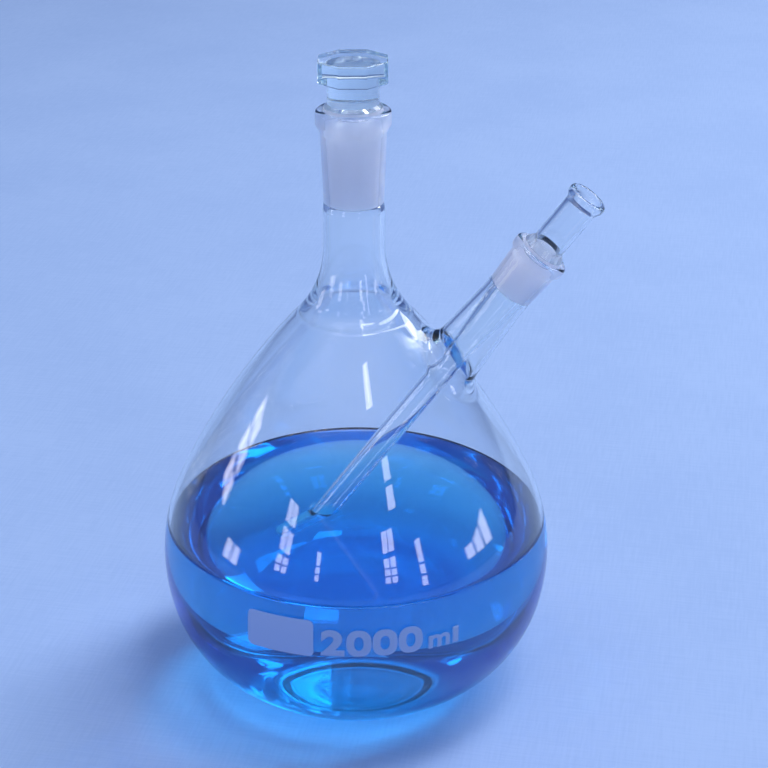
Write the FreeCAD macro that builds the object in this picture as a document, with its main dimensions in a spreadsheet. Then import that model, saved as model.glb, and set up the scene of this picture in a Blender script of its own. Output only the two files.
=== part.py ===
import FreeCAD, Part
import math
import os
import Sketcher
from FreeCAD import Vector

# A two neck, flat bottomed laboratory flask, in millimetres.
# Origin: centre of the foot, on the axis of the centre neck. +Z up, +X towards the side neck,
# whose axis lies in the XZ plane and crosses the centre axis. Heights named side_ and pocket_ are
# measured along the side neck's axis from that crossing.

driving = {
    # The blown body: its outline is four tangent arcs from the foot to the shoulder.
    "wall": 2.0,
    "foot_radius": 42.0,
    "knuckle_radius": 12.0,
    "bowl_radius": 60.0,
    "belly_radius": 80.0,
    "belly_height": 62.0,
    "body_radius": 85.9,
    "flank_start": 97.0,
    "flank_radius": 340.0,
    "shoulder_radius": 45.0,
    "dish_radius": 35.0,
    "dish_depth": 0.8,
    # The centre neck and its ground socket, 24 mm wide at the mouth and 40 mm long.
    "centre_rim": 264.5,
    "centre_tube": 26.0,
    "centre_mouth": 24.0,
    "centre_ground": 40.0,
    "centre_foot": 25.2,
    "centre_top": 27.4,
    "centre_bead": 31.4,
    "centre_bead_height": 6.0,
    "centre_bead_flare": 3.6,
    "centre_blend": 3.0,
    # The side neck and its ground socket, 18.8 mm wide at the mouth and 22 mm long. The tube widens
    # towards the body, up to its root width at side_root.
    "side_crossing": 98.0,
    "side_tilt": 35.6,
    "side_rim": 135.8,
    "side_tube": 20.0,
    "side_wall": 1.6,
    "side_mouth": 18.8,
    "side_ground": 22.0,
    "side_foot": 19.8,
    "side_top": 21.8,
    "side_bead": 24.8,
    "side_bead_height": 4.0,
    "side_bead_flare": 2.4,
    "side_blend": 1.6,
    "side_root": 45.0,
    "side_root_width": 28.6,
    "side_fillet": 7.0,
    # What the ground joints share: the taper on the diameter, the fit and the rounded rims.
    "ground_taper": 0.1,
    "joint_clearance": 0.04,
    "rim_rounding": 1.1,
    "bead_rounding": 1.2,
    # The stopper: an eight sided head on a round grip, and a hollow ground plug.
    "head_flats": 28.4,
    "head_height": 9.4,
    "head_turn": 11.0,
    "head_rounding": 1.0,
    "grip_width": 21.4,
    "grip_height": 11.6,
    "plug_above_rim": 1.2,
    "plug_shoulder": 1.4,
    "plug_depth": 38.0,
    "plug_bore": 14.8,
    "plug_bore_depth": 36.5,
    "plug_bore_end": 7.4,
    "plug_bore_slope": 3.7,
    # The thermometer pocket: an open tube above a ground cone, and a long closed stem below it.
    "pocket_stand": 30.9,
    "pocket_tube": 14.2,
    "pocket_wall": 1.4,
    "pocket_bead": 17.0,
    "pocket_bead_height": 2.6,
    "pocket_bead_flare": 2.6,
    "pocket_lip_rounding": 0.6,
    "pocket_above_rim": 1.0,
    "pocket_shoulder": 3.2,
    "pocket_cone_depth": 21.0,
    "pocket_narrowing": 33.0,
    "pocket_stem": 10.0,
    "pocket_stem_wall": 1.1,
    "pocket_length": 228.0,
    # The solution in the flask, just clear of the glass.
    "liquid_level": 78.2,
    "liquid_gap": 0.1,
}

closeness = 0.01  # How near an edge must be to where it is looked for.

doc = FreeCAD.newDocument("TwoNeckFlask")
sheet = doc.addObject("Spreadsheet::Sheet", "Sizes")
for row, (alias, value) in enumerate(driving.items(), start=1):
    sheet.set(f"A{row}", alias.replace("_", " "))
    sheet.set(f"B{row}", str(value))
    sheet.setAlias(f"B{row}", alias)
doc.recompute()


class Size:
    # A length with the sheet formula it comes from, so that one line gives both.
    def __init__(self, value, text):
        self.value = value
        self.text = text

    def __add__(self, other):
        other = as_size(other)
        return Size(self.value + other.value, f"({self.text} + {other.text})")

    def __sub__(self, other):
        other = as_size(other)
        return Size(self.value - other.value, f"({self.text} - {other.text})")

    def __mul__(self, other):
        other = as_size(other)
        return Size(self.value * other.value, f"{self.text} * {other.text}")

    def __truediv__(self, other):
        other = as_size(other)
        return Size(self.value / other.value, f"{self.text} / {other.text}")


def as_size(number):
    if isinstance(number, Size):
        return number
    return Size(float(number), str(number))


class Sizes:
    # The sheet's sizes by name. With a prefix, the sizes of one neck.
    def __init__(self, prefix=""):
        self.prefix = prefix

    def __getattr__(self, name):
        alias = self.prefix + name
        return Size(driving[alias], f"Sizes.{alias}")


size = Sizes()
centre = Sizes("centre_")
side = Sizes("side_")
pocket = Sizes("pocket_")


def hold(sketch, constraint, length):
    index = sketch.addConstraint(constraint)
    sketch.setExpression(f"Constraints[{index}]", length.text)


class Outline:
    # A closed outline in a sketch. Each line or arc starts where the last one ended.
    def __init__(self, sketch, x, y):
        self.sketch = sketch
        self.start = (as_size(x), as_size(y))
        self.at = Vector(self.start[0].value, self.start[1].value, 0)
        self.first = None
        self.last = None

    def join(self, geometry, begin, end, tangent=False):
        index = self.sketch.addGeometry(geometry, False)
        if self.last is None:
            self.first = (index, begin)
            self.pin(self.first, *self.start)
        else:
            kind = "Tangent" if tangent else "Coincident"
            self.sketch.addConstraint(Sketcher.Constraint(kind, *self.last, index, begin))
        self.last = (index, end)
        return index

    def pin(self, point, x=None, y=None):
        # Holds a point of the outline at a distance from the sketch's axes.
        for kind, axis, length in (("DistanceX", -2, x), ("DistanceY", -1, y)):
            if length is None:
                continue
            length = as_size(length)
            if length.value == 0:
                self.sketch.addConstraint(Sketcher.Constraint("PointOnObject", *point, axis))
            else:
                hold(self.sketch, Sketcher.Constraint(kind, -1, 1, *point, length.value), length)

    def line(self, x, y, tangent=False):
        # A tangent line leaves the arc before it straight up, so only its height is held.
        x, y = as_size(x), as_size(y)
        end = Vector(x.value, y.value, 0)
        index = self.join(Part.LineSegment(self.at, end), 1, 2, tangent)
        self.at = end
        if tangent:
            self.sketch.addConstraint(Sketcher.Constraint("Vertical", index))
        self.pin(self.last, None if tangent else x, y)

    def arc(self, middle, radius, first_angle, last_angle, hollow=False, tangent=True):
        # An arc round a middle point. A hollow one bends away from the axis and runs clockwise.
        circle = Part.Circle(middle, Vector(0, 0, 1), radius.value)
        geometry = Part.ArcOfCircle(circle, min(first_angle, last_angle), max(first_angle, last_angle))
        index = self.join(geometry, *((2, 1) if hollow else (1, 2)), tangent)
        hold(self.sketch, Sketcher.Constraint("Radius", index, radius.value), radius)
        reach = Vector(math.cos(last_angle), math.sin(last_angle), 0)
        self.at = middle + reach * radius.value
        return index

    def close(self):
        end = Vector(self.start[0].value, self.start[1].value, 0)
        index = self.sketch.addGeometry(Part.LineSegment(self.at, end), False)
        self.sketch.addConstraint(Sketcher.Constraint("Coincident", *self.last, index, 1))
        self.sketch.addConstraint(Sketcher.Constraint("Coincident", index, 2, *self.first))


def new_body(label):
    body = doc.addObject("PartDesign::Body", label)
    body.Label = label
    return body


def new_sketch(body, name, tilted=False, plane="XZ_Plane"):
    # A tilted sketch has its upright axis on the side neck's axis.
    sketch = body.newObject("Sketcher::SketchObject", name)
    support = [feature for feature in body.Origin.OriginFeatures if feature.Role == plane][0]
    sketch.AttachmentSupport = [(support, "")]
    sketch.MapMode = "FlatFace"
    if tilted:
        sketch.setExpression("AttachmentOffset.Base.y", size.side_crossing.text)
        sketch.setExpression("AttachmentOffset.Rotation.Angle", f"-{side.tilt.text}")
    return sketch


def turned(body, sketch, kind="PartDesign::Revolution"):
    # Turns the sketch's outline a full round about its own upright axis.
    feature = body.newObject(kind, sketch.Name + "Turn")
    feature.Profile = sketch
    feature.ReferenceAxis = (sketch, ["V_Axis"])
    feature.Angle = 360
    sketch.Visibility = False
    doc.recompute()
    return feature


def rounded(body, name, edges, radius):
    base = body.Tip
    fillet = body.newObject("PartDesign::Fillet", name)
    fillet.Base = (base, edges)
    fillet.setExpression("Radius", radius.text)
    doc.recompute()
    return fillet


def edges_where(feature, test):
    # The names of the edges that pass the test. The poles of a turned face are no real edges.
    numbered = enumerate(feature.Shape.Edges, start=1)
    return [f"Edge{number}" for number, edge in numbered if not edge.Degenerated and test(edge)]


def is_ring(edge, base, direction, height, radius):
    # A full circle about the line from base along direction, at a height and of a radius.
    curve = edge.Curve
    if not isinstance(curve, Part.Circle) or not edge.Closed:
        return False
    middle = base + direction * height.value
    return (curve.Center - middle).Length < closeness and abs(curve.Radius - radius.value) < closeness


def touching(first, first_reach, second, second_reach):
    # The point at the given distances from two points, on the side away from the axis.
    along = second - first
    part = (first_reach ** 2 - second_reach ** 2 + along.Length ** 2) / (2 * along.Length)
    across = math.sqrt(first_reach ** 2 - part ** 2)
    unit = along / along.Length
    return first + unit * part + Vector(unit.y, -unit.x, 0) * across


def bearing(start, end):
    return math.atan2(end.y - start.y, end.x - start.x)


# The blown body's outline, drawn at a given depth inside the outer skin.

knuckle_middle = Vector(size.foot_radius.value, size.knuckle_radius.value, 0)
belly_middle = Vector(size.body_radius.value - size.belly_radius.value, size.belly_height.value, 0)
bowl_middle = touching(
    knuckle_middle, size.bowl_radius.value - size.knuckle_radius.value,
    belly_middle, size.belly_radius.value - size.bowl_radius.value,
)
flank_angle = math.asin((size.flank_start.value - size.belly_height.value) / size.belly_radius.value)
flank_reach = size.flank_radius.value - size.belly_radius.value
flank_middle = belly_middle - Vector(math.cos(flank_angle), math.sin(flank_angle), 0) * flank_reach
shoulder_x = centre.tube.value / 2 + size.shoulder_radius.value
shoulder_drop = (size.flank_radius.value + size.shoulder_radius.value) ** 2 - (shoulder_x - flank_middle.x) ** 2
shoulder_middle = Vector(shoulder_x, flank_middle.y + math.sqrt(shoulder_drop), 0)


def draw_bowl(outline, inset, last_angle):
    # From the foot's middle out to the foot, round the knuckle, up the bowl and over the belly.
    outline.line(size.foot_radius, inset)
    knuckle_end = bearing(bowl_middle, knuckle_middle)
    bowl_end = bearing(belly_middle, bowl_middle)
    outline.arc(knuckle_middle, size.knuckle_radius - inset, -math.pi / 2, knuckle_end)
    outline.arc(bowl_middle, size.bowl_radius - inset, knuckle_end, bowl_end)
    belly = outline.arc(belly_middle, size.belly_radius - inset, bowl_end, last_angle)
    outline.pin((belly, 3), size.body_radius - size.belly_radius, size.belly_height)


def draw_flank(outline, inset):
    # From the belly up the long flank, then round the hollow shoulder to the neck.
    rise = (size.flank_start - size.belly_height) * (size.belly_radius - inset) / size.belly_radius
    outline.pin(outline.last, y=size.belly_height + rise)
    flank_end = bearing(flank_middle, shoulder_middle)
    outline.arc(flank_middle, size.flank_radius - inset, flank_angle, flank_end)
    shoulder = outline.arc(
        shoulder_middle, size.shoulder_radius + inset, flank_end + math.pi, math.pi, hollow=True
    )
    outline.pin((shoulder, 3), centre.tube / 2 + size.shoulder_radius)


def draw_socket(outline, neck, half_tube, tangent):
    # The outside of a neck: its tube, the narrower foot of the socket, and the beaded rim.
    blend_start = neck.rim - neck.ground - neck.blend
    outline.line(half_tube, blend_start, tangent)
    outline.line(neck.foot / 2, neck.rim - neck.ground)
    outline.line(neck.top / 2, neck.rim - neck.bead_height - neck.bead_flare)
    outline.line(neck.bead / 2, neck.rim - neck.bead_height)
    outline.line(neck.bead / 2, neck.rim)
    outline.line(0, neck.rim)


def draw_bore(outline, neck, half_bore, tangent):
    # The inside of a neck: its bore, the step to the ground socket, and the socket's taper.
    past = neck.bead_height
    outline.line(half_bore, neck.rim - neck.ground - neck.blend, tangent)
    outline.line((neck.mouth - neck.ground * size.ground_taper) / 2, neck.rim - neck.ground)
    outline.line((neck.mouth + past * size.ground_taper) / 2, neck.rim + past)
    outline.line(0, neck.rim + past)


side_base = Vector(0, 0, size.side_crossing.value)
side_tilt = math.radians(side.tilt.value)
side_way = Vector(math.sin(side_tilt), 0, math.cos(side_tilt))
centre_base = Vector(0, 0, 0)
centre_way = Vector(0, 0, 1)


def is_junction(edge):
    # The seam where the side neck leaves the body: no circle, and away from both rims.
    if isinstance(edge.Curve, (Part.Circle, Part.Line)) or edge.Length < side.tube.value:
        return False
    middle = edge.BoundBox.Center
    along = (middle - side_base).dot(side_way)
    return side.root.value < along < side.rim.value - side.ground.value and middle.x > side.tube.value / 2


def neck_blank(body, inset, side_inset, draw_neck):
    # The body with both necks, as one solid: the outer skin, or the space inside the glass.
    # The body is turned from the YZ plane, so that its seam stands clear of the side neck.
    sketch = new_sketch(body, body.Name + "Profile", plane="YZ_Plane")
    outline = Outline(sketch, 0, inset)
    draw_bowl(outline, inset, flank_angle)
    draw_flank(outline, inset)
    draw_neck(outline, centre, centre.tube / 2 - inset, tangent=True)
    outline.close()
    turned(body, sketch)
    sketch = new_sketch(body, body.Name + "SideProfile", tilted=True)
    outline = Outline(sketch, 0, side.root)
    outline.line(side.root_width / 2 - side_inset, side.root)
    draw_neck(outline, side, side.tube / 2 - side_inset, tangent=False)
    outline.close()
    return turned(body, sketch)


# The flask: the blown glass, from the foot to both rims, as one piece.

hollow = new_body("flask_hollow")
hollow_blank = neck_blank(hollow, size.wall, side.wall, draw_bore)
rounded(hollow, "HollowJunction", edges_where(hollow_blank, is_junction), size.side_fillet + size.wall)

flask = new_body("flask")
flask_blank = neck_blank(flask, as_size(0), as_size(0), draw_socket)
rounded(flask, "JunctionFillet", edges_where(flask_blank, is_junction), size.side_fillet)
bead_edges = []
for neck, base, way in ((centre, centre_base, centre_way), (side, side_base, side_way)):
    lower = neck.rim - neck.bead_height
    bead_edges += edges_where(
        flask.Tip,
        lambda edge: is_ring(edge, base, way, neck.rim, neck.bead / 2)
        or is_ring(edge, base, way, lower, neck.bead / 2)
        or is_ring(edge, base, way, lower - neck.bead_flare, neck.top / 2),
    )
rounded(flask, "BeadRounding", bead_edges, size.bead_rounding)
dish_sketch = new_sketch(flask, "FootDish")
dish = Outline(dish_sketch, 0, 0)
dish.line(size.dish_radius, 0)
dish.line(0, size.dish_depth)
dish.close()
turned(flask, dish_sketch, "PartDesign::Groove")
cut = flask.newObject("PartDesign::Boolean", "HollowCut")
cut.Type = "Cut"
cut.addObjects([hollow])
doc.recompute()
mouth_edges = []
for neck, base, way in ((centre, centre_base, centre_way), (side, side_base, side_way)):
    mouth_edges += edges_where(cut, lambda edge: is_ring(edge, base, way, neck.rim, neck.mouth / 2))
rounded(flask, "MouthRounding", mouth_edges, size.rim_rounding)


# The stopper: a pressed head with eight sides, a round grip, and a hollow ground plug.

def plug_radius(neck, height):
    # The radius of a ground plug at a height, a running clearance inside the socket's taper.
    return (neck.mouth + (height - neck.rim) * size.ground_taper) / 2 - size.joint_clearance


stopper = new_body("stopper")
plug_top = centre.rim + size.plug_above_rim
plug_end = centre.rim - size.plug_depth
head_under = centre.rim + size.grip_height
sketch = new_sketch(stopper, "PlugProfile")
outline = Outline(sketch, 0, plug_end)
outline.line(plug_radius(centre, plug_end), plug_end)
outline.line(plug_radius(centre, plug_top), plug_top)
outline.line(size.grip_width / 2, plug_top + size.plug_shoulder)
outline.line(size.grip_width / 2, head_under)
outline.line(0, head_under)
outline.close()
turned(stopper, sketch)

sides = 8
sketch = new_sketch(stopper, "HeadOutline", plane="XY_Plane")
sketch.setExpression("AttachmentOffset.Base.z", head_under.text)
sketch.setExpression("AttachmentOffset.Rotation.Angle", size.head_turn.text)
corner_reach = size.head_flats.value / 2 / math.cos(math.pi / sides)
corners = [
    Vector(math.cos(turn), math.sin(turn), 0) * corner_reach
    for turn in (math.pi / sides * (2 * number + 1) for number in range(sides))
]
for number in range(sides):
    sketch.addGeometry(Part.LineSegment(corners[number], corners[(number + 1) % sides]), False)
ring = sketch.addGeometry(Part.Circle(Vector(0, 0, 0), Vector(0, 0, 1), corner_reach), True)
sketch.addConstraint(Sketcher.Constraint("Coincident", ring, 3, -1, 1))
for number in range(sides):
    sketch.addConstraint(Sketcher.Constraint("Coincident", number, 2, (number + 1) % sides, 1))
    sketch.addConstraint(Sketcher.Constraint("PointOnObject", number, 1, ring))
    if number:
        sketch.addConstraint(Sketcher.Constraint("Equal", 0, number))
top_flat = sides // 4 - 1
sketch.addConstraint(Sketcher.Constraint("Horizontal", top_flat))
half_flats = size.head_flats / 2
hold(sketch, Sketcher.Constraint("DistanceY", -1, 1, top_flat, 1, half_flats.value), half_flats)
head = stopper.newObject("PartDesign::Pad", "Head")
head.Profile = sketch
head.setExpression("Length", size.head_height.text)
sketch.Visibility = False
doc.recompute()


def is_head_edge(edge):
    # Every edge of the head but the ring where the grip meets it.
    return isinstance(edge.Curve, Part.Line) and edge.BoundBox.ZMin > head_under.value - closeness


rounded(stopper, "HeadRounding", edges_where(head, is_head_edge), size.head_rounding)
sketch = new_sketch(stopper, "PlugBore")
bore_top = plug_end + size.plug_bore_depth
outline = Outline(sketch, 0, plug_end)
outline.line(size.plug_bore / 2, plug_end)
outline.line(size.plug_bore / 2, bore_top - size.plug_bore_slope)
outline.line(size.plug_bore_end / 2, bore_top)
outline.line(0, bore_top)
outline.close()
turned(stopper, sketch, "PartDesign::Groove")


# The thermometer pocket: an open tube, a ground cone and a long stem with a round closed end.

def draw_tip(outline, half_width, end):
    # A round end on the axis, then up to where the tube is straight.
    middle = Vector(0, (end + half_width).value, 0)
    index = outline.arc(middle, half_width, -math.pi / 2, 0, tangent=False)
    outline.pin((index, 3), 0)
    outline.pin((index, 2), y=end + half_width)


pocket_node = new_body("thermometer_pocket")
pocket_top = side.rim + pocket.stand
pocket_end = pocket_top - pocket.length
cone_top = side.rim + pocket.above_rim
cone_end = side.rim - pocket.cone_depth
half_stem = pocket.stem / 2
sketch = new_sketch(pocket_node, "PocketProfile", tilted=True)
outline = Outline(sketch, 0, pocket_end)
draw_tip(outline, half_stem, pocket_end)
outline.line(half_stem, cone_end - pocket.narrowing)
outline.line(plug_radius(side, cone_end), cone_end)
outline.line(plug_radius(side, cone_top), cone_top)
outline.line(pocket.tube / 2, cone_top + pocket.shoulder)
outline.line(pocket.tube / 2, pocket_top - pocket.bead_height - pocket.bead_flare)
outline.line(pocket.bead / 2, pocket_top - pocket.bead_height)
outline.line(pocket.bead / 2, pocket_top)
outline.line(0, pocket_top)
outline.close()
turned(pocket_node, sketch)
bore_half = pocket.tube / 2 - pocket.wall
stem_bore_half = half_stem - pocket.stem_wall
sketch = new_sketch(pocket_node, "PocketBore", tilted=True)
outline = Outline(sketch, 0, pocket_end + pocket.stem_wall)
draw_tip(outline, stem_bore_half, pocket_end + pocket.stem_wall)
outline.line(stem_bore_half, cone_end - pocket.narrowing)
outline.line(bore_half, cone_end)
outline.line(bore_half, pocket_top)
outline.line(0, pocket_top)
outline.close()
pocket_bore = turned(pocket_node, sketch, "PartDesign::Groove")
lip_edges = edges_where(
    pocket_bore,
    lambda edge: is_ring(edge, side_base, side_way, pocket_top, pocket.bead / 2)
    or is_ring(edge, side_base, side_way, pocket_top - pocket.bead_height, pocket.bead / 2)
    or is_ring(edge, side_base, side_way, pocket_top, bore_half),
)
rounded(pocket_node, "LipRounding", lip_edges, pocket.lip_rounding)


# The solution: it fills the bowl to its level, with a hole where the pocket's stem dips in.

solution = new_body("blue_solution")
inset = size.wall + size.liquid_gap
level_angle = math.asin((size.liquid_level - size.belly_height).value / (size.belly_radius - inset).value)
sketch = new_sketch(solution, "SolutionProfile")
outline = Outline(sketch, 0, inset)
draw_bowl(outline, inset, level_angle)
outline.pin(outline.last, y=size.liquid_level)
outline.line(0, size.liquid_level)
outline.close()
turned(solution, sketch)
sketch = new_sketch(solution, "StemHole", tilted=True)
hole_end = pocket_end - size.liquid_gap
outline = Outline(sketch, 0, hole_end)
draw_tip(outline, half_stem + size.liquid_gap, hole_end)
outline.line(half_stem + size.liquid_gap, side.root)
outline.line(0, side.root)
outline.close()
turned(solution, sketch, "PartDesign::Groove")


# Every object is sound before anything is written, and each piece is one closed solid.

doc.recompute()
for item in doc.Objects:
    if "Invalid" in item.State or "Error" in item.State:
        raise RuntimeError(f"{item.Name} failed: {item.State}")
    if item.TypeId == "Sketcher::SketchObject" and not item.FullyConstrained:
        raise RuntimeError(f"{item.Name} is not fully held")

os.makedirs("parts", exist_ok=True)
for piece in (flask, stopper, pocket_node, solution):
    shape = piece.Shape
    if shape.isNull() or not shape.isValid() or len(shape.Solids) != 1:
        raise RuntimeError(f"{piece.Label} is not one sound solid")
    shape.exportStep(f"parts/{piece.Label}.step")
    print(piece.Label, "volume", round(shape.Volume / 1000, 2), "ml", "faces", len(shape.Faces))
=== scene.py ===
import bmesh
import bpy
import math
import numpy as np
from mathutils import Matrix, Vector


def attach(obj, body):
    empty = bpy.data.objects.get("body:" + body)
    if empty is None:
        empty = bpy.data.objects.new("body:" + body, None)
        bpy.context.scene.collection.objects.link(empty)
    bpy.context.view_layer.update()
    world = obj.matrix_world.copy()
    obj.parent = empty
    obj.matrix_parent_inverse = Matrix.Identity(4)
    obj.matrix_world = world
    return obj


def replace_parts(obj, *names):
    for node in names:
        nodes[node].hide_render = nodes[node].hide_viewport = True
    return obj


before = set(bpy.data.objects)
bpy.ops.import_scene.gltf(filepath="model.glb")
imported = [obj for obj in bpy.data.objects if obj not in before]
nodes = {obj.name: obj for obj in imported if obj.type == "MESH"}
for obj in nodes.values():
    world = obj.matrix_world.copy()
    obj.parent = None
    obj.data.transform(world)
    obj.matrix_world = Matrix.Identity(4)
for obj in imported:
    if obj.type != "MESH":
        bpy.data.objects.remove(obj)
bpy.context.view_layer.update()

# A two neck glass flask with blue solution, its stopper and its thermometer pocket.
# Forms are worked out in millimetres and become metres when their mesh is made.

mm = 0.001


# Sockets that can be added and multiplied

class Wire:
    # one socket of a node tree: arithmetic on it adds the tree's Math nodes
    def __init__(self, bench, socket):
        self.bench = bench
        self.socket = socket

    def math(self, operation, first, second=0.0):
        return self.bench.add("ShaderNodeMath", {"operation": operation}, {0: first, 1: second})

    def __add__(self, other):
        return self.math("ADD", self, other)

    def __sub__(self, other):
        return self.math("SUBTRACT", self, other)

    def __rsub__(self, other):
        return self.math("SUBTRACT", other, self)

    def __mul__(self, other):
        return self.math("MULTIPLY", self, other)

    def __truediv__(self, other):
        return self.math("DIVIDE", self, other)

    def __lt__(self, other):
        return self.math("LESS_THAN", self, other)

    def __gt__(self, other):
        return self.math("GREATER_THAN", self, other)

    def apply(self, operation):
        return self.math(operation, self)

    def out(self, name):
        return Wire(self.bench, self.socket.node.outputs[name])


class Bench:
    # a node tree being wired up
    def __init__(self, tree):
        self.tree = tree

    def add(self, kind, settings=None, values=None, out=0):
        node = self.tree.nodes.new(kind)
        for name, setting in (settings or {}).items():
            setattr(node, name, setting)
        for key, value in (values or {}).items():
            if isinstance(value, Wire):
                self.tree.links.new(value.socket, node.inputs[key])
            else:
                node.inputs[key].default_value = value
        return Wire(self, node.outputs[out]) if node.outputs else None


def newFinish(name):
    material = bpy.data.materials.new(name)
    material.use_nodes = True
    material.node_tree.nodes.clear()
    return material, Bench(material.node_tree)


def smoothStep(bench, value, low, high):
    # 0 under low, 1 over high, with soft ends
    settings = {"interpolation_type": "SMOOTHSTEP"}
    return bench.add("ShaderNodeMapRange", settings, {"Value": value, "From Min": low, "From Max": high})


def softBand(bench, value, low, high, edge):
    # 1 between two levels, with soft ends
    bottom = smoothStep(bench, value, low - edge, low + edge)
    return bottom * (1.0 - smoothStep(bench, value, high - edge, high + edge))


# The flask's own drawing

flaskForm = {
    "wall": 2.0, "footRadius": 42.0, "knuckleRadius": 12.0, "bowlRadius": 60.0, "bellyRadius": 80.0,
    "bellyHeight": 62.0, "bodyRadius": 85.9, "flankStart": 97.0, "flankRadius": 340.0,
    "shoulderRadius": 45.0, "dishRadius": 35.0, "dishDepth": 0.8, "mouthDepth": 3.0,
    "weldFillet": 7.0, "innerWeldFillet": 4.5, "ringReach": 19.0, "ringWidth": 3.2, "ringThickness": 1.5,
    # how finely it is drawn: segments round the axis, and steps along the outline in millimetres
    "bodySegments": 192, "neckSegments": 96, "arcStep": 2.0, "knuckleStep": 0.8, "flankStep": 1.6,
    "shoulderStep": 1.0, "dishSteps": 12,
}
centreNeck = {
    "rim": 264.5, "tube": 26.0, "wall": 2.0, "mouth": 24.0, "ground": 40.0, "foot": 25.2, "top": 27.4,
    "bead": 31.4, "beadHeight": 6.0, "beadFlare": 3.6, "blend": 3.0,
}
sideNeck = {
    "rim": 135.8, "tube": 20.0, "wall": 1.6, "mouth": 18.8, "ground": 22.0, "foot": 19.8, "top": 21.8,
    "bead": 24.8, "beadHeight": 4.0, "beadFlare": 2.4, "blend": 1.6, "root": 45.0, "rootWidth": 28.6,
    "crossing": 98.0, "tilt": 35.6,
}
neckRounding = {
    # the rounding of a neck's corners, outside and then inside, and the short run that leads to them
    "tube": 3.0, "foot": 3.0, "flare": 2.4, "bead": 1.8, "rim": 1.7, "mouth": 1.2,
    "bore": 1.5, "seat": 0.8, "lead": 2.0, "boreStep": 2.0,
}
runStep = 4.0  # along straight runs, in millimetres
cornerStep = math.radians(12)  # round their corners
mergeGap = 2e-6  # points nearer than this are one, in metres
groundTaper = 0.1  # on the diameter
centreWay = Vector((0, 0, 1))
centreBase = Vector((0, 0, 0))
sideTilt = math.radians(sideNeck["tilt"])
sideWay = Vector((math.sin(sideTilt), 0, math.cos(sideTilt)))
sideBase = Vector((0, 0, sideNeck["crossing"]))


def arcRun(middle, radius, first, last, step=flaskForm["arcStep"]):
    # points along an arc, without its first one
    count = max(2, math.ceil(abs(last - first) * radius / step))
    turns = [first + (last - first) * number / count for number in range(1, count + 1)]
    return [(middle[0] + radius * math.cos(turn), middle[1] + radius * math.sin(turn)) for turn in turns]


def bearing(start, end):
    return math.atan2(end[1] - start[1], end[0] - start[0])


def touching(first, firstReach, second, secondReach):
    # the point at the given distances from two points, on the side away from the axis
    along = np.subtract(second, first)
    gap = math.hypot(*along)
    part = (firstReach ** 2 - secondReach ** 2 + gap ** 2) / (2 * gap)
    across = math.sqrt(firstReach ** 2 - part ** 2)
    unit = along / gap
    return tuple(np.array(first) + unit * part + np.array((unit[1], -unit[0])) * across)


form = flaskForm
sinkTurn = -math.pi / 2  # an arc's angle at its lowest point
knuckleMiddle = (form["footRadius"], form["knuckleRadius"])
bellyMiddle = (form["bodyRadius"] - form["bellyRadius"], form["bellyHeight"])
bowlMiddle = touching(
    knuckleMiddle, form["bowlRadius"] - form["knuckleRadius"],
    bellyMiddle, form["bellyRadius"] - form["bowlRadius"],
)
flankAngle = math.asin((form["flankStart"] - form["bellyHeight"]) / form["bellyRadius"])
flankReach = form["flankRadius"] - form["bellyRadius"]
flankMiddle = (
    bellyMiddle[0] - math.cos(flankAngle) * flankReach,
    bellyMiddle[1] - math.sin(flankAngle) * flankReach,
)
shoulderX = centreNeck["tube"] / 2 + form["shoulderRadius"]
shoulderGap = form["flankRadius"] + form["shoulderRadius"]
shoulderRise = math.sqrt(shoulderGap ** 2 - (shoulderX - flankMiddle[0]) ** 2)
shoulderMiddle = (shoulderX, flankMiddle[1] + shoulderRise)


def footRun(inset, dish):
    # the flat foot, hollowed a little in the middle
    ring, count = form["dishRadius"], form["dishSteps"]
    spots = [ring * number / count for number in range(count + 1)]
    hollow = [(spot, inset + dish * (1 - (spot / ring) ** 2)) for spot in spots]
    return hollow + [(form["footRadius"], inset)]


def bowlRun(inset, lastAngle):
    # round the knuckle, up the bowl and over the belly
    knuckleEnd = bearing(bowlMiddle, knuckleMiddle)
    bowlEnd = bearing(bellyMiddle, bowlMiddle)
    points = arcRun(
        knuckleMiddle, form["knuckleRadius"] - inset, sinkTurn, knuckleEnd, form["knuckleStep"],
    )
    points += arcRun(bowlMiddle, form["bowlRadius"] - inset, knuckleEnd, bowlEnd)
    return points + arcRun(bellyMiddle, form["bellyRadius"] - inset, bowlEnd, lastAngle)


def flankRun(inset):
    # up the long flank and round the hollow shoulder to the neck
    flankEnd = bearing(flankMiddle, shoulderMiddle)
    points = arcRun(flankMiddle, form["flankRadius"] - inset, flankAngle, flankEnd, form["flankStep"])
    shoulder = arcRun(
        shoulderMiddle, form["shoulderRadius"] + inset, flankEnd + math.pi, math.pi, form["shoulderStep"],
    )
    if inset:
        # the glass is thicker in the ring where the neck was welded on
        for number, (reach, height) in enumerate(shoulder):
            beside = (reach - form["ringReach"]) / form["ringWidth"]
            thicker = form["ringThickness"] * math.exp(-beside ** 2)
            away = np.subtract((reach, height), shoulderMiddle)
            shoulder[number] = tuple(np.add((reach, height), away / np.linalg.norm(away) * thicker))
    return points + shoulder


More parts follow.
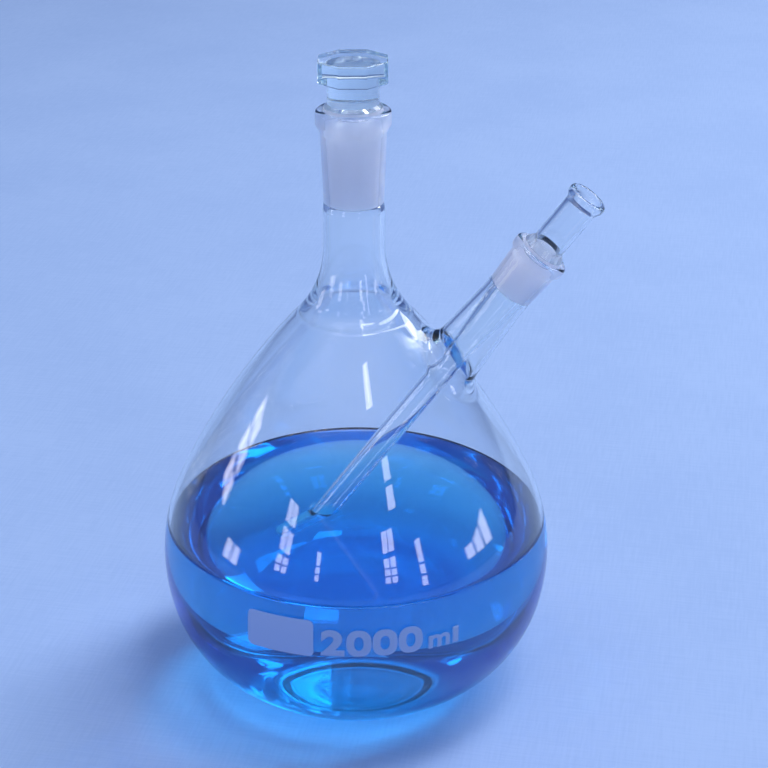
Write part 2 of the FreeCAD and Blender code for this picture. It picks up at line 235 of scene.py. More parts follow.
def softRun(corners, step=runStep):
    # straight runs through the corners; a corner's third number rounds it. The first point is left out
    points = [tuple(corners[0][:2])]
    for number in range(1, len(corners)):
        here = np.array(corners[number][:2])
        rounding = corners[number][2] if len(corners[number]) > 2 else 0
        last = np.array(points[-1])
        arc = [tuple(here)]
        if rounding:
            back = np.array(corners[number - 1][:2]) - here
            ahead = np.array(corners[number + 1][:2]) - here
            back, ahead = back / np.linalg.norm(back), ahead / np.linalg.norm(ahead)
            half = math.acos(float(np.clip(back @ ahead, -1, 1))) / 2
            reach = rounding / math.tan(half)
            middle = here + (back + ahead) / np.linalg.norm(back + ahead) * rounding / math.sin(half)
            start, end = here + back * reach - middle, here + ahead * reach - middle
            turn = math.atan2(start[0] * end[1] - start[1] * end[0], float(start @ end))
            first = math.atan2(start[1], start[0])
            count = max(3, math.ceil(abs(turn) / cornerStep))
            turns = [first + turn * k / count for k in range(count + 1)]
            arc = [tuple(middle + rounding * np.array((math.cos(way), math.sin(way)))) for way in turns]
        gap = np.array(arc[0]) - last
        count = max(1, round(np.linalg.norm(gap) / step))
        points += [tuple(last + gap * k / count) for k in range(1, count + 1)] + arc[1:]
    return points[1:]


def mouthLevel(neck):
    return neck["rim"] - form["mouthDepth"]


def mouthRadius(neck):
    return (neck["mouth"] - form["mouthDepth"] * groundTaper) / 2


def neckOutside(neck):
    # the tube, the narrower foot of the socket, the bead, and over the rim a little way into the mouth
    rounding = neckRounding
    ground = neck["rim"] - neck["ground"]
    bead = neck["rim"] - neck["beadHeight"]
    return softRun([
        (neck["tube"] / 2, ground - neck["blend"] - rounding["lead"]),
        (neck["tube"] / 2, ground - neck["blend"], rounding["tube"]),
        (neck["foot"] / 2, ground, rounding["foot"]),
        (neck["top"] / 2, bead - neck["beadFlare"], rounding["flare"]),
        (neck["bead"] / 2, bead, rounding["bead"]), (neck["bead"] / 2, neck["rim"], rounding["rim"]),
        (neck["mouth"] / 2, neck["rim"], rounding["mouth"]), (mouthRadius(neck), mouthLevel(neck)),
    ]) + [(0, mouthLevel(neck))]


def neckInside(neck):
    ground = neck["rim"] - neck["ground"]
    bore = neck["tube"] / 2 - neck["wall"]
    return softRun([
        (bore, ground - neck["blend"] - neckRounding["lead"]),
        (bore, ground - neck["blend"], neckRounding["bore"]),
        ((neck["mouth"] - neck["ground"] * groundTaper) / 2, ground, neckRounding["seat"]),
        (mouthRadius(neck), mouthLevel(neck)),
    ], neckRounding["boreStep"]) + [(0, mouthLevel(neck))]


# Turned forms: a tree of nodes turns an outline about its axis

def newTurner():
    tree = bpy.data.node_groups.new("turned form", "GeometryNodeTree")
    for name, kind in (
        ("Outline", "NodeSocketGeometry"), ("Segments", "NodeSocketInt"), ("Tilt", "NodeSocketFloat"),
        ("Base Height", "NodeSocketFloat"), ("Finish", "NodeSocketMaterial"),
    ):
        tree.interface.new_socket(name, in_out="INPUT", socket_type=kind)
    tree.interface.new_socket("Form", in_out="OUTPUT", socket_type="NodeSocketGeometry")
    bench = Bench(tree)
    given = bench.add("NodeGroupInput")
    segments = given.out("Segments")
    size = bench.add("GeometryNodeAttributeDomainSize", {"component": "MESH"}, {"Geometry": given})
    spots = size.out("Point Count")
    grid = bench.add("GeometryNodeMeshGrid", None, {"Vertices X": segments + 1.0, "Vertices Y": spots})
    index = bench.add("GeometryNodeInputIndex")
    column = (index / spots).apply("FLOOR")
    place = bench.add(
        "GeometryNodeSampleIndex", {"data_type": "FLOAT_VECTOR", "domain": "POINT"},
        {"Geometry": given, "Value": bench.add("GeometryNodeInputPosition"), "Index": index - column * spots},
    )
    parts = bench.add("ShaderNodeSeparateXYZ", None, {0: place})
    angle = column / segments * math.tau
    reach, height = parts.out("X"), parts.out("Z")
    turned = bench.add("ShaderNodeCombineXYZ", None, {
        "X": reach * angle.apply("COSINE"), "Y": reach * angle.apply("SINE"), "Z": height,
    })
    tilted = bench.add(
        "ShaderNodeVectorRotate", {"rotation_type": "Y_AXIS"}, {"Vector": turned, "Angle": given.out("Tilt")},
    )
    lift = bench.add("ShaderNodeCombineXYZ", None, {"Z": given.out("Base Height")})
    moved = bench.add("ShaderNodeVectorMath", {"operation": "ADD"}, {0: tilted, 1: lift})
    surface = bench.add("GeometryNodeSetPosition", None, {"Geometry": grid, "Position": moved})
    surface = bench.add("GeometryNodeMergeByDistance", None, {"Geometry": surface, "Distance": mergeGap})
    surface = bench.add("GeometryNodeSetShadeSmooth", None, {"Geometry": surface})
    surface = bench.add("GeometryNodeRealizeInstances", None, {"Geometry": surface})
    surface = bench.add("GeometryNodeSetMaterial", None, {
        "Geometry": surface, "Material": given.out("Finish"),
    })
    bench.add("NodeGroupOutput", None, {"Form": surface})
    return tree


turner = newTurner()


def meshObject(name, points, edges=(), faces=()):
    mesh = bpy.data.meshes.new(name)
    mesh.from_pydata(points, edges, faces)
    made = bpy.data.objects.new(name, mesh)
    bpy.context.scene.collection.objects.link(made)
    return made


def bakedMesh(thing):
    # the mesh an object shows, its modifiers applied
    shown = thing.evaluated_get(bpy.context.evaluated_depsgraph_get())
    return bpy.data.meshes.new_from_object(shown)


def gather(whole, part):
    # the second loose mesh goes into the first
    passing = bpy.data.meshes.new("passing")
    part.to_mesh(passing)
    part.free()
    whole.from_mesh(passing)
    bpy.data.meshes.remove(passing)


def fromLoose(name, loose):
    made = meshObject(name, [])
    loose.to_mesh(made.data)
    loose.free()
    return made


def openEdges(loose):
    return sum(not edge.is_manifold for edge in loose.edges)


def turnedForm(name, outline, segments, finish, tilted=False):
    # an outline in millimetres, turned about the centre axis or the side neck's axis
    points = [(reach * mm, 0, height * mm) for reach, height in outline]
    made = meshObject(name, points, [(number, number + 1) for number in range(len(points) - 1)])
    modifier = made.modifiers.new("turned", "NODES")
    modifier.node_group = turner
    inputs = {item.name: item.identifier for item in turner.interface.items_tree if item.in_out == "INPUT"}
    modifier[inputs["Segments"]] = segments
    modifier[inputs["Tilt"]] = sideTilt if tilted else 0.0
    modifier[inputs["Base Height"]] = sideNeck["crossing"] * mm if tilted else 0.0
    modifier[inputs["Finish"]] = finish
    mesh = bakedMesh(made)
    mesh.name = name
    made.modifiers.remove(modifier)
    made.data = mesh
    return made


def combined(first, second, operation):
    # the first form joined with the second or cut by it; the second one goes
    modifier = first.modifiers.new("combined", "BOOLEAN")
    modifier.object = second
    modifier.operation = operation
    modifier.solver = "EXACT"
    mesh = bakedMesh(first)
    first.modifiers.remove(modifier)
    first.data = mesh
    bpy.data.objects.remove(second)
    return first


def smoothed(piece):
    piece.data.polygons.foreach_set("use_smooth", [True] * len(piece.data.polygons))
    piece.data.update()
    return piece


# Finishes

clearGlass = {
    "ior": 1.473, "tint": (0.99, 0.997, 0.995, 1.0), "depthColour": (0.30, 0.72, 0.78, 1.0), "density": 9.0,
}
solutionLook = {
    "ior": 1.335, "tint": (1.0, 1.0, 1.0, 1.0), "depthColour": (0.10, 0.775, 0.939, 1.0), "density": 38.0,
}


def clearShader(bench, look, values=None):
    return bench.add("ShaderNodeBsdfPrincipled", None, {
        "Base Color": look["tint"], "Roughness": 0.0, "IOR": look["ior"], "Transmission Weight": 1.0,
        **(values or {}),
    })


def clearOutput(bench, look, surface):
    # the surface, over a depth that takes up colour
    depth = bench.add("ShaderNodeVolumeAbsorption", None, {
        "Color": look["depthColour"], "Density": look["density"],
    })
    bench.add("ShaderNodeOutputMaterial", None, {"Surface": surface, "Volume": depth})


frosting = {
    "roughness": 0.42, "haze": 0.5, "colour": (0.88, 0.86, 0.93, 1.0), "hazeRoughness": 0.7,
    "grainScale": 2600.0, "grainDetail": 2.0, "bump": 0.08, "bumpDepth": 0.00002,
    # in millimetres: the clear strip under a socket's rim, and the soft ends of the ground zones
    "belowRim": 2.2, "socketEdge": 0.5, "plugEdge": 0.3,
}


def frostedMix(bench, mask):
    # clear glass that turns to a ground, hazy surface where the mask is 1
    look = frosting
    grain = bench.add("ShaderNodeTexNoise", None, {
        "Vector": bench.add("ShaderNodeTexCoord").out("Object"), "Scale": look["grainScale"],
        "Detail": look["grainDetail"],
    })
    bump = bench.add("ShaderNodeBump", None, {
        "Strength": look["bump"], "Distance": look["bumpDepth"], "Height": grain * mask,
    })
    clear = clearShader(bench, clearGlass, {"Roughness": mask * look["roughness"], "Normal": bump})
    haze = bench.add("ShaderNodeBsdfPrincipled", None, {
        "Base Color": look["colour"], "Roughness": look["hazeRoughness"],
    })
    mixed = bench.add("ShaderNodeMixShader", None, {0: mask * look["haze"], 1: clear, 2: haze})
    clearOutput(bench, clearGlass, mixed)


def axisPlace(bench, base, way):
    # height along an axis and distance from it, in metres
    where = bench.add("ShaderNodeTexCoord").out("Object")
    kind = "ShaderNodeVectorMath"
    offset = bench.add(kind, {"operation": "SUBTRACT"}, {0: where, 1: tuple(base)})
    along = bench.add(kind, {"operation": "DOT_PRODUCT"}, {0: offset, 1: tuple(way)}).out("Value")
    foot = bench.add(kind, {"operation": "SCALE"}, {0: tuple(way), "Scale": along})
    beside = bench.add(kind, {"operation": "DISTANCE"}, {0: offset, 1: foot}).out("Value")
    return along, beside


def groundZone(bench, neck, base, way):
    # the inside of a socket, from just below the rim to its foot
    along, beside = axisPlace(bench, base, way)
    limit = (neck["foot"] + neck["mouth"] + groundTaper * 2) / 4 * mm
    low, high = (neck["rim"] - neck["ground"]) * mm, (neck["rim"] - frosting["belowRim"]) * mm
    return softBand(bench, along, low, high, frosting["socketEdge"] * mm) * (beside < limit)


def flaskGlass():
    material, bench = newFinish("flask glass")
    mask = groundZone(bench, centreNeck, centreBase, centreWay)
    frostedMix(bench, mask + groundZone(bench, sideNeck, sideBase * mm, sideWay))
    return material


def plugGlass(name, base, way, low, high, inner):
    # clear glass with a ground cone between two heights, on its outside only
    material, bench = newFinish(name)
    along, beside = axisPlace(bench, base, way)
    zone = softBand(bench, along, low * mm, high * mm, frosting["plugEdge"] * mm)
    frostedMix(bench, zone * (beside > inner * mm))
    return material


def solutionFinish():
    material, bench = newFinish("blue solution")
    clearOutput(bench, solutionLook, clearShader(bench, solutionLook))
    return material


# The flask: outer skin and inner skin, each the body joined with the side neck, meeting at both rims

weldFit = {
    # straight part under the side socket and step of its outline; then the fillet's fitting: passes,
    # how near the skins a point is to count, and the half width of a slope's measure
    "straight": 6.0, "step": 1.4, "passes": 8, "near": 0.05, "probe": 0.001,
}


def weldedSkin(name, inset, neckSide, fillet):
    # one skin of the flask, with its side neck welded on by a fillet
    body = footRun(inset, form["dishDepth"]) + bowlRun(inset, flankAngle) + flankRun(inset)
    body += neckSide(centreNeck)
    thin = sideNeck["wall"] if inset else 0
    half, rootHalf = sideNeck["tube"] / 2 - thin, sideNeck["rootWidth"] / 2 - thin
    root, straight = sideNeck["root"], sideNeck["rim"] - sideNeck["ground"] - weldFit["straight"]
    side = [(0, root), (rootHalf, root)] + softRun([(rootHalf, root), (half, straight)], weldFit["step"])
    side += neckSide(sideNeck)
    skin = turnedForm(name, body, form["bodySegments"], None)
    skin = combined(skin, turnedForm(name + "Side", side, form["neckSegments"], None, tilted=True), "UNION")
    spots = np.array([vertex.co for vertex in skin.data.vertices]) / mm

    def skinField(points):
        # under 0 inside the skin; the two forms run into each other by a fillet
        reach = np.hypot(points[:, 0], points[:, 1])
        flank = np.hypot(reach - flankMiddle[0], points[:, 2] - flankMiddle[1])
        flank = flank - (form["flankRadius"] - inset)
        offset = points - np.array(sideBase)
        along = offset @ np.array(sideWay)
        width = half + (rootHalf - half) * np.maximum(straight - along, 0) / (straight - root)
        tube = np.linalg.norm(offset - along[:, None] * np.array(sideWay), axis=1) - width
        corner = np.hypot(np.maximum(fillet - flank, 0), np.maximum(fillet - tube, 0))
        return np.maximum(fillet, np.minimum(flank, tube)) - corner, flank, tube, along

    flank, tube, along = skinField(spots)[1:]
    near = (flank < fillet) & (tube < fillet) & (along > root + 1)
    near &= (np.minimum(np.abs(flank), np.abs(tube)) < weldFit["near"]) & (spots[:, 0] > 0)
    moving = spots[near]
    probe = weldFit["probe"]
    for turn in range(weldFit["passes"]):
        value = skinField(moving)[0]
        slope = np.stack([
            (skinField(moving + step)[0] - skinField(moving - step)[0]) / (2 * probe)
            for step in np.eye(3) * probe
        ], axis=1)
        moving = moving - slope * (value / np.maximum((slope ** 2).sum(axis=1), 1e-9))[:, None]
    spots[near] = moving
    skin.data.vertices.foreach_set("co", (spots * mm).astype(np.float32).ravel())
    skin.data.update()
    return skin


def flaskShell(finish):
    outer = weldedSkin("outerSkin", 0, neckOutside, form["weldFillet"])
    inner = weldedSkin("innerSkin", form["wall"], neckInside, form["innerWeldFillet"])
    caps = [centreWay * mouthLevel(centreNeck), sideBase + sideWay * mouthLevel(sideNeck)]
    both = bmesh.new()
    for skin, turnRound in ((outer, False), (inner, True)):
        one = bmesh.new()
        one.from_mesh(skin.data)
        for cap in caps:
            middle = min(one.verts, key=lambda vertex: (vertex.co - cap * mm).length)
            bmesh.ops.delete(one, geom=[middle], context="VERTS")
        if turnRound:
            bmesh.ops.reverse_faces(one, faces=one.faces)
        gather(both, one)
        bpy.data.objects.remove(skin)
    bmesh.ops.remove_doubles(both, verts=both.verts, dist=mergeGap * 2)
    print("flask glass: faces", len(both.faces), "open edges", openEdges(both))
    shell = fromLoose("flask_glass_shell", both)
    shell.data.materials.append(finish)
    return smoothed(shell)


flaskShellPiece = flaskShell(flaskGlass())
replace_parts(flaskShellPiece, "flask")
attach(flaskShellPiece, "flask_body")
print("flask made")


# The thermometer pocket

pocketForm = {
    "stand": 30.9, "tube": 14.2, "wall": 1.4, "bead": 17.0, "beadHeight": 2.6, "aboveRim": 1.0,
    "shoulder": 3.2, "coneDepth": 21.0, "narrowing": 33.0, "stem": 10.0, "stemWall": 1.1, "length": 228.0,
    "clearance": 0.04, "segments": 72, "runStep": 5.0, "tipStep": 0.6,
    # the rounding of its corners, from the stem up to the mouth, then down inside
    "rounding": {
        "stem": 40.0, "coneFoot": 6.0, "coneTop": 1.6, "shoulder": 2.2, "neck": 2.5, "bead": 1.2,
        "mouth": 0.9, "innerCone": 12.0, "innerStem": 30.0,
    },
}


def pocketPiece():
    sizes, rounding = pocketForm, pocketForm["rounding"]
    top = sideNeck["rim"] + sizes["stand"]
    end = top - sizes["length"]
    coneTop, coneEnd = sideNeck["rim"] + sizes["aboveRim"], sideNeck["rim"] - sizes["coneDepth"]
    wide, narrow, bead = sizes["tube"] / 2, sizes["stem"] / 2, sizes["bead"] / 2
    bore, stemBore = wide - sizes["wall"], narrow - sizes["stemWall"]

    def cone(height):
        return (sideNeck["mouth"] + (height - sideNeck["rim"]) * groundTaper) / 2 - sizes["clearance"]

    outline = [(0, end)] + arcRun((0, end + narrow), narrow, sinkTurn, 0, sizes["tipStep"])
    outline += softRun([
        (narrow, end + narrow), (narrow, coneEnd - sizes["narrowing"], rounding["stem"]),
        (cone(coneEnd), coneEnd, rounding["coneFoot"]), (cone(coneTop), coneTop, rounding["coneTop"]),
        (wide, coneTop + sizes["shoulder"], rounding["shoulder"]),
        (wide, top - sizes["beadHeight"] * 2, rounding["neck"]),
        (bead, top - sizes["beadHeight"], rounding["bead"]), (bead, top, rounding["bead"]),
        (bore, top, rounding["mouth"]), (bore, coneEnd, rounding["innerCone"]),
        (stemBore, coneEnd - sizes["narrowing"], rounding["innerStem"]), (stemBore, end + narrow),
    ], sizes["runStep"])
    outline += arcRun((0, end + narrow), stemBore, 0, sinkTurn, sizes["tipStep"])
    finish = plugGlass("pocket glass", sideBase * mm, sideWay, coneEnd, coneTop, wide)
    piece = turnedForm("pocket_glass_tube", outline, sizes["segments"], finish, tilted=True)
    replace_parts(piece, "thermometer_pocket")
    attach(piece, "pocket_body")
    return end, narrow


pocketEnd, stemRadius = pocketPiece()
print("pocket made")


# The stopper: the drawing's own form, with its faces joined and its edges kept

stopperLook = {"plugDepth": 38.0, "groundTop": 1.0, "boreRadius": 7.8, "smoothAngle": 28.0}


def stopperPiece():
    look = stopperLook
    low, high = centreNeck["rim"] - look["plugDepth"], centreNeck["rim"] + look["groundTop"]
    finish = plugGlass("stopper glass", centreBase, centreWay, low, high, look["boreRadius"])
    merged = bmesh.new()
    merged.from_mesh(nodes["stopper"].data)
    bmesh.ops.remove_doubles(merged, verts=merged.verts, dist=mergeGap)
    bmesh.ops.dissolve_degenerate(merged, edges=merged.edges, dist=mergeGap / 2)
    for face in merged.faces:
        face.smooth = True
    for edge in merged.edges:
        edge.smooth = edge.is_manifold and edge.calc_face_angle(0) < math.radians(look["smoothAngle"])
    print("stopper: open edges", openEdges(merged))
    piece = fromLoose("stopper_glass_form", merged)
    piece.data.materials.clear()
    piece.data.materials.append(finish)
    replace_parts(piece, "stopper")
    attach(piece, "stopper_body")


stopperPiece()
print("stopper made")


# The solution: it wets the wall, climbs it a little, and closes round the pocket's stem

solutionForm = {
    "level": 78.2, "soak": 0.1, "climb": 2.0, "climbLength": 2.4, "reach": 14.0,
    # the climbing edge is drawn finer towards the wall
    "edgeSteps": 24, "edgeEase": 1.6, "levelSteps": 12,
    # places along the side neck's axis where the stem's hole is drawn, and its top
    "hole": range(-50, 30, 6), "holeTop": 25,
}


def solutionPiece():
    look = solutionForm
    inset = flaskForm["wall"] - look["soak"]
    contact = look["level"] + look["climb"]
    lastAngle = math.asin((contact - flaskForm["bellyHeight"]) / (flaskForm["bellyRadius"] - inset))
    outline = footRun(inset, flaskForm["dishDepth"]) + bowlRun(inset, lastAngle)
    wallReach = outline[-1][0]
    for number in range(1, look["edgeSteps"] + 1):
        away = look["reach"] * (number / look["edgeSteps"]) ** look["edgeEase"]
        rise = look["climb"] * math.exp(-away / look["climbLength"])
        outline.append((wallReach - away, look["level"] + rise))
    inward, count = outline[-1][0], look["levelSteps"]
    outline += [(inward * (1 - number / count), look["level"]) for number in range(1, count + 1)]
    piece = turnedForm("solution_body", outline, flaskForm["bodySegments"], None)
    hole = stemRadius - look["soak"]
    stem = [(0, pocketEnd + look["soak"])]
    stem += arcRun((0, pocketEnd + stemRadius), hole, sinkTurn, 0, pocketForm["tipStep"])
    stem += [(hole, height) for height in look["hole"]] + [(0, look["holeTop"])]
    cutter = turnedForm("stemHole", stem, pocketForm["segments"], None, tilted=True)
    piece = combined(piece, cutter, "DIFFERENCE")
    piece.data.materials.clear()
    piece.data.materials.append(solutionFinish())
    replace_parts(smoothed(piece), "blue_solution")
    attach(piece, "flask_body")


solutionPiece()
print("solution made")


# The print: a panel to write on and the volume, on the near side of the belly

printForm = {
    # turns in degrees round the axis, heights in millimetres along the wall from the belly's middle
    "front": 0.02, "back": 0.06, "cut": 1.2, "cutShift": 0.37, "panel": (-109.8, -90.1, -5.0, 11.8),
    "panelCorner": 2.4, "cornerSteps": 6, "curveSteps": 6, "mergeGap": 1e-4,
    # the print is white enamel; both its colours are set darker and bluer than that: painted shade, as its
    # front stands in shade
    "panelColourWithPaintedShade": (0.27, 0.405, 0.77, 1.0), "numberColourWithPaintedShade": (0.25, 0.375, 0.705, 1.0),
    "roughness": 0.45,
    "ring": {"steps": 56, "wide": 0.375, "tall": 0.52, "outer": 2.5, "inner": 2.3},
    # each letter's place, and how much bolder it is drawn
    "letters": [
        ("2", -88.1, -81.5, -4.0, 8.3, 0.05), ("0", -81.0, -74.1, -4.0, 8.3, 0),
        ("0", -73.8, -66.9, -4.0, 8.3, 0), ("0", -66.6, -59.7, -4.0, 8.3, 0),
        ("m", -58.0, -51.4, -4.0, 2.3, 0.03), ("l", -50.6, -48.7, -4.0, 3.9, 0.03),
    ],
}


def panelOutline():
    # a rounded panel as one face, spanned in millimetres
    left, right, low, high = printForm["panel"]
    wide, tall = math.radians(right - left) * form["bodyRadius"] / 2, (high - low) / 2
    corner, count = printForm["panelCorner"], printForm["cornerSteps"]
    points = []
    for number, (signX, signY) in enumerate(((1, 1), (-1, 1), (-1, -1), (1, -1))):
        middle = ((wide - corner) * signX, (tall - corner) * signY)
        points += [
            (middle[0] + corner * math.cos(turn), middle[1] + corner * math.sin(turn), 0)
            for turn in (math.radians(90 * number + 90 / count * k) for k in range(count + 1))
        ]
    sheet = bmesh.new()
    sheet.faces.new([sheet.verts.new(point) for point in points])
    return sheet


def ringOutline():
    # a heavy nought: the space between two rounded ovals
    ring = printForm["ring"]
    sheet, loops = bmesh.new(), []
    for wide, tall, power in ((1, 1, ring["outer"]), (ring["wide"], ring["tall"], ring["inner"])):
        turns = [math.tau * (number + 0.5) / ring["steps"] for number in range(ring["steps"])]
        loops.append([
            sheet.verts.new((
                wide * math.copysign(abs(math.cos(turn)) ** (2 / power), math.cos(turn)),
                tall * math.copysign(abs(math.sin(turn)) ** (2 / power), math.sin(turn)), 0,
            )) for turn in turns
        ])
    for number in range(ring["steps"]):
        after = (number + 1) % ring["steps"]
        sheet.faces.new((loops[0][number], loops[0][after], loops[1][after], loops[1][number]))
    return sheet


def letterOutline(letter, bolder):
    if letter == "0":
        return ringOutline()
    curve = bpy.data.curves.new("letter", "FONT")
    curve.body = letter
    curve.offset = bolder
    curve.resolution_u = printForm["curveSteps"]
    text = bpy.data.objects.new("letter", curve)
    bpy.context.scene.collection.objects.link(text)
    mesh = bakedMesh(text)
    bpy.data.objects.remove(text)
    sheet = bmesh.new()
    sheet.from_mesh(mesh)
    bmesh.ops.remove_doubles(sheet, verts=sheet.verts, dist=printForm["mergeGap"])
    return sheet


def wrapped(sheet, left, right, low, high):
    # a flat sheet stretched to its place, cut up, given its thickness and laid round the belly
    spots = np.array([vertex.co for vertex in sheet.verts])
    least, most = spots.min(axis=0), spots.max(axis=0)
    wide = math.radians(right - left) * form["bodyRadius"]
    for vertex in sheet.verts:
        vertex.co.x = (vertex.co.x - least[0]) / (most[0] - least[0]) * wide
        vertex.co.y = low + (vertex.co.y - least[1]) / (most[1] - least[1]) * (high - low)
    for axis, start, end in ((0, 0, wide), (1, low, high)):
        for number in range(1, math.ceil((end - start) / printForm["cut"]) + 1):
            place, way = Vector(), Vector()
            place[axis], way[axis] = start + (number - printForm["cutShift"]) * printForm["cut"], 1
            everything = sheet.verts[:] + sheet.edges[:] + sheet.faces[:]
            bmesh.ops.bisect_plane(sheet, geom=everything, plane_co=place, plane_no=way)
    raised = bmesh.ops.extrude_face_region(sheet, geom=sheet.faces[:])["geom"]
    front = {item for item in raised if isinstance(item, bmesh.types.BMVert)}
    for vertex in sheet.verts:
        depth = printForm["front"] if vertex in front else -printForm["back"]
        turn = math.radians(left) + vertex.co.x / form["bodyRadius"]
        lean = vertex.co.y / form["bellyRadius"]
        reach = bellyMiddle[0] + (form["bellyRadius"] + depth) * math.cos(lean)
        height = bellyMiddle[1] + (form["bellyRadius"] + depth) * math.sin(lean)
        vertex.co = Vector((reach * math.cos(turn), reach * math.sin(turn), height)) * mm
    bmesh.ops.recalc_face_normals(sheet, faces=sheet.faces)
    return sheet


def printPiece(name, colour, sheets):
    material, bench = newFinish(name)
    surface = bench.add("ShaderNodeBsdfPrincipled", None, {
        "Base Color": colour, "Roughness": printForm["roughness"],
    })
    bench.add("ShaderNodeOutputMaterial", None, {"Surface": surface})
    whole = bmesh.new()
    for sheet in sheets:
        gather(whole, sheet)
    print(name, "open edges", openEdges(whole))
    piece = fromLoose(name, whole)
    piece.data.materials.append(material)
    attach(piece, "flask_body")


printPiece("print_panel", printForm["panelColourWithPaintedShade"], [wrapped(panelOutline(), *printForm["panel"])])
printPiece("print_volume", printForm["numberColourWithPaintedShade"], [
    wrapped(letterOutline(letter, bolder), *place) for letter, *place, bolder in printForm["letters"]
])
print("print made")


# The floor, the lights and the camera

studio = {
    "floorColour": (0.32, 0.465, 0.775, 1.0), "shadeColour": (0.285, 0.425, 0.735, 1.0),
    "clothScale": 9.0, "clothDetail": 4.0, "threads": [(45.0, 800.0, 1.0), (800.0, 45.0, 1.0)],
    "threadDetail": 2.0, "shadeRange": (1.1, 1.9), "floorRoughness": 0.9, "floorSize": 8.0,
    "floorGap": 0.0002, "worldColour": (0.62, 0.70, 0.92, 1.0), "worldStrength": 0.4, "bounces": 26,
    "sideColour": (0.17, 0.26, 0.57, 1.0),
    # what the glass shows of the room: darker at the back, blue higher up, then the pale ceiling
    "sky": [
        ("Y", 0.6, 0.95, (0.05, 0.09, 0.27, 1.0)), ("Z", 0.1, 0.35, (0.14, 0.25, 0.58, 1.0)),
        ("Z", 0.5, 0.9, (0.88, 0.90, 1.0, 1.0)),
    ],
}
lights = {
    "softLight": {"at": (1.3, 1.5, 1.8), "size": (0.8, 2.2), "power": 42.0, "colour": (1.0, 0.98, 0.98)},
    "topLight": {"at": (-0.15, 0.0, 2.4), "size": (1.5, 1.6), "power": 10.0, "colour": (0.85, 0.93, 1.0)},
    "lamp": {"at": (0.58, 0.15, 2.4), "size": (0.6, 0.6), "power": 13.6, "colour": (1.0, 0.98, 0.98)},
}
windows = {
    # bearing from the near side towards +X, width and heights in degrees; columns and rows of panes
    "colour": (1.0, 0.95, 0.97), "distance": 2.4, "aim": 0.1, "gap": 0.2, "brightness": 5.0,
    "panes": [
        (-89, 12, 8, 22, 2, 3), (-66, 12, -1, 10, 2, 1), (-33, 8, 8, 27, 2, 4), (-11, 3, 8, 22, 1, 3),
        (32, 8, 7, 26, 2, 4), (51, 4, 1, 22, 1, 3), (90, 22, 4, 12, 3, 1), (38, 6, 28, 38, 1, 2),
        (30, 8, 46, 56, 2, 1),
    ],
}
viewpoint = {
    "at": (0.1514, -0.7149, 0.4810), "down": 24.923, "turn": 10.98, "lens": 87.2, "sensor": 36.0,
}


def colourMix(bench, factor, first, second):
    # the third output is the colour
    settings = {"data_type": "RGBA"}
    return bench.add("ShaderNodeMix", settings, {"Factor": factor, "A": first, "B": second}, 2)


def makeFloor():
    material, bench = newFinish("pale cloth floor")
    where = bench.add("ShaderNodeTexCoord").out("Object")
    cloth = bench.add("ShaderNodeTexNoise", None, {
        "Vector": where, "Scale": studio["clothScale"], "Detail": studio["clothDetail"],
    })
    for stretch in studio["threads"]:
        laid = bench.add("ShaderNodeVectorMath", {"operation": "MULTIPLY"}, {0: where, 1: stretch})
        cloth = cloth + bench.add("ShaderNodeTexNoise", None, {
            "Vector": laid, "Scale": 1.0, "Detail": studio["threadDetail"],
        })
    shade = colourMix(
        bench, smoothStep(bench, cloth, *studio["shadeRange"]), studio["shadeColour"], studio["floorColour"],
    )
    surface = bench.add("ShaderNodeBsdfPrincipled", None, {
        "Base Color": shade, "Roughness": studio["floorRoughness"],
    })
    bench.add("ShaderNodeOutputMaterial", None, {"Surface": surface})
    half = studio["floorSize"] / 2
    low = -studio["floorGap"]
    corners = [(-half, -half, low), (half, -half, low), (half, half, low), (-half, half, low)]
    floor = meshObject("floor", corners, (), [(0, 1, 2, 3)])
    floor.data.materials.append(material)


def areaLight(name, at, size, power, colour):
    data = bpy.data.lights.new(name, "AREA")
    data.shape = "RECTANGLE"
    data.size, data.size_y = size
    data.energy = power
    data.color = colour
    light = bpy.data.objects.new(name, data)
    bpy.context.scene.collection.objects.link(light)
    light.location = at
    aim = Vector((0, 0, windows["aim"])) - light.location
    light.rotation_euler = aim.to_track_quat("-Z", "Y").to_euler()


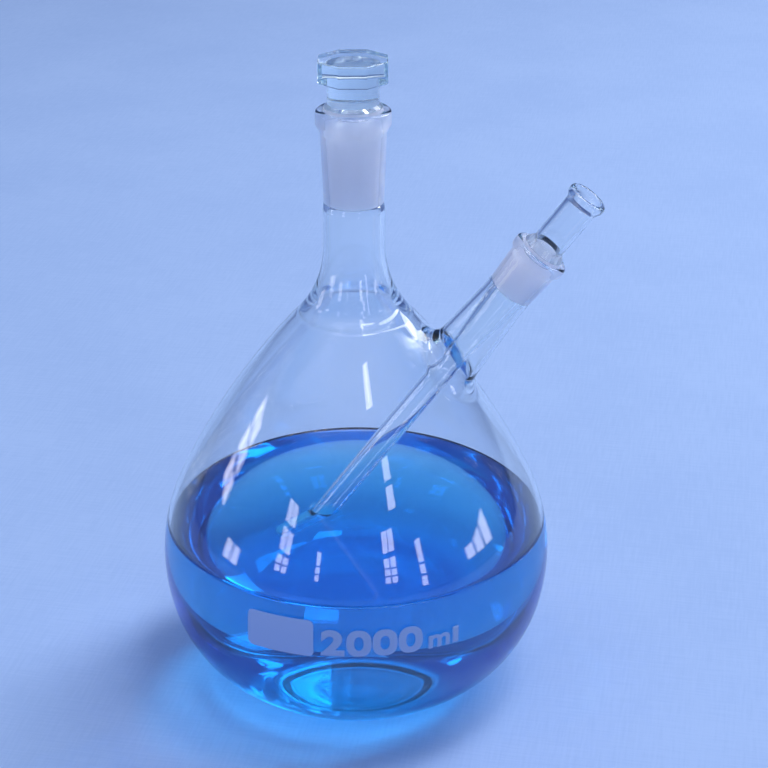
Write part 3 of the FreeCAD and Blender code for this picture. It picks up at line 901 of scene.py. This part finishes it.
def makeWindows():
    reach = windows["distance"]
    for number, (heading, width, low, high, columns, rows) in enumerate(windows["panes"]):
        wide, tall = math.radians(width) / columns, math.radians(high - low) / rows
        size = (wide * reach * (1 - windows["gap"]), tall * reach * (1 - windows["gap"]))
        for column in range(columns):
            for row in range(rows):
                turn = math.radians(heading - width / 2) + wide * (column + 0.5)
                rise = math.radians(low) + tall * (row + 0.5)
                level, height = math.cos(rise) * reach, windows["aim"] + math.sin(rise) * reach
                place = (math.sin(turn) * level, -math.cos(turn) * level, height)
                power = windows["brightness"] * math.pi * size[0] * size[1]
                areaLight(f"window{number}_{column}_{row}", place, size, power, windows["colour"])


def makeSky():
    world = bpy.data.worlds.new("room")
    bpy.context.scene.world = world
    world.use_nodes = True
    world.node_tree.nodes.clear()
    bench = Bench(world.node_tree)
    glow = bench.add("ShaderNodeBackground", None, {
        "Color": studio["worldColour"], "Strength": studio["worldStrength"],
    })
    way = bench.add("ShaderNodeSeparateXYZ", None, {0: bench.add("ShaderNodeTexCoord").out("Generated")})
    sky = studio["sideColour"]
    for axis, start, end, colour in studio["sky"]:
        sky = colourMix(bench, smoothStep(bench, way.out(axis), start, end), sky, colour)
    seen = bench.add("ShaderNodeBackground", None, {"Color": sky, "Strength": 1.0})
    path = bench.add("ShaderNodeLightPath")
    direct = (path.out("Is Glossy Ray") + path.out("Is Transmission Ray") + path.out("Is Camera Ray")) > 0.5
    room = bench.add("ShaderNodeMixShader", None, {0: direct, 1: glow, 2: seen})
    bench.add("ShaderNodeOutputWorld", None, {"Surface": room})


def setBounces():
    # light that is reflected inside the glass many times over still gets through
    cycles = bpy.context.scene.cycles
    cycles.max_bounces = cycles.transmission_bounces = cycles.glossy_bounces = studio["bounces"]
    cycles.blur_glossy = 0.0


def makeCamera():
    data = bpy.data.cameras.new("camera")
    data.lens = viewpoint["lens"]
    data.sensor_width = viewpoint["sensor"]
    camera = bpy.data.objects.new("camera", data)
    bpy.context.scene.collection.objects.link(camera)
    camera.location = viewpoint["at"]
    camera.rotation_euler = (math.radians(90 - viewpoint["down"]), 0, math.radians(viewpoint["turn"]))
    bpy.context.scene.camera = camera


makeFloor()
for name, light in lights.items():
    areaLight(name, **light)
makeWindows()
makeSky()
setBounces()
makeCamera()
bpy.context.scene.view_settings.view_transform = "Standard"
print("studio made")
